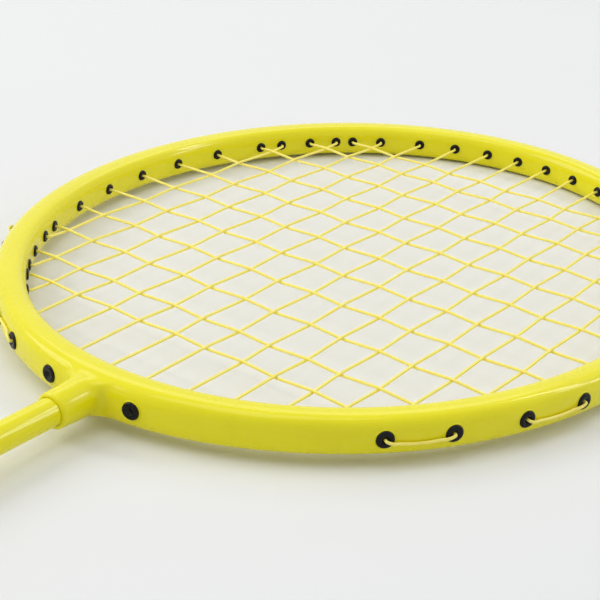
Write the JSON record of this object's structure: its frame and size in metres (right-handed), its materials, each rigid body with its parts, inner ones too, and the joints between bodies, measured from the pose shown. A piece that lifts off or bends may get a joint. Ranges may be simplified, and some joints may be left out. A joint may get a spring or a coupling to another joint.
{
  "type": "badminton racket",
  "caption": "Badminton racket: an oval strung head on a slim shaft, with a flared throat socket, black grommets, a cone and a wound octagonal grip.",
  "frame": {"origin": "the middle of the butt cap's flat end face", "axes": "+X along the racket to the tip of the head, +Y across the head, +Z square to the string plane"},
  "size_m": [0.6725, 0.2067, 0.0256],
  "materials": {
    "frame_paint": "gloss lemon yellow paint with a clear coat",
    "string": "smooth warm yellow nylon string",
    "grommet": "gloss black moulded nylon",
    "cone_plastic": "satin black moulded plastic",
    "handle_wood": "bare turned and planed wood",
    "grip_tape": "matt black wound polyurethane grip tape, perforated",
    "finishing_tape": "satin black finishing tape",
    "cap_plastic": "satin black moulded plastic"
  },
  "bodies": {
    "root": {"butt_cap": "cap_plastic", "cone": "cone_plastic", "cross_string": "string", "finishing_tape": "finishing_tape", "frame": "frame_paint", "grip": "grip_tape", "grommet_cross_01_far": "grommet", "grommet_cross_01_near": "grommet", "grommet_cross_02_far": "grommet", "grommet_cross_02_near": "grommet", "grommet_cross_03_far": "grommet", "grommet_cross_03_near": "grommet", "grommet_cross_04_far": "grommet", "grommet_cross_04_near": "grommet", "grommet_cross_05_far": "grommet", "grommet_cross_05_near": "grommet", "grommet_cross_06_far": "grommet", "grommet_cross_06_near": "grommet", "grommet_cross_07_far": "grommet", "grommet_cross_07_near": "grommet", "grommet_cross_08_far": "grommet", "grommet_cross_08_near": "grommet", "grommet_cross_09_far": "grommet", "grommet_cross_09_near": "grommet", "grommet_cross_10_far": "grommet", "grommet_cross_10_near": "grommet", "grommet_cross_11_far": "grommet", "grommet_cross_11_near": "grommet", "grommet_empty_far": "grommet", "grommet_empty_near": "grommet", "grommet_main_01_throat": "grommet", "grommet_main_01_tip": "grommet", "grommet_main_02_throat": "grommet", "grommet_main_02_tip": "grommet", "grommet_main_03_throat": "grommet", "grommet_main_03_tip": "grommet", "grommet_main_04_throat": "grommet", "grommet_main_04_tip": "grommet", "grommet_main_05_throat": "grommet", "grommet_main_05_tip": "grommet", "grommet_main_06_throat": "grommet", "grommet_main_06_tip": "grommet", "grommet_main_07_tip": "grommet", "grommet_main_08_tip": "grommet", "grommet_main_09_throat": "grommet", "grommet_main_09_tip": "grommet", "grommet_main_10_throat": "grommet", "grommet_main_10_tip": "grommet", "grommet_main_11_throat": "grommet", "grommet_main_11_tip": "grommet", "grommet_main_12_throat": "grommet", "grommet_main_12_tip": "grommet", "grommet_main_13_throat": "grommet", "grommet_main_13_tip": "grommet", "grommet_main_14_throat": "grommet", "grommet_main_14_tip": "grommet", "handle": "handle_wood", "main_string": "string", "shaft": "frame_paint"}
  },
  "joints": []
}
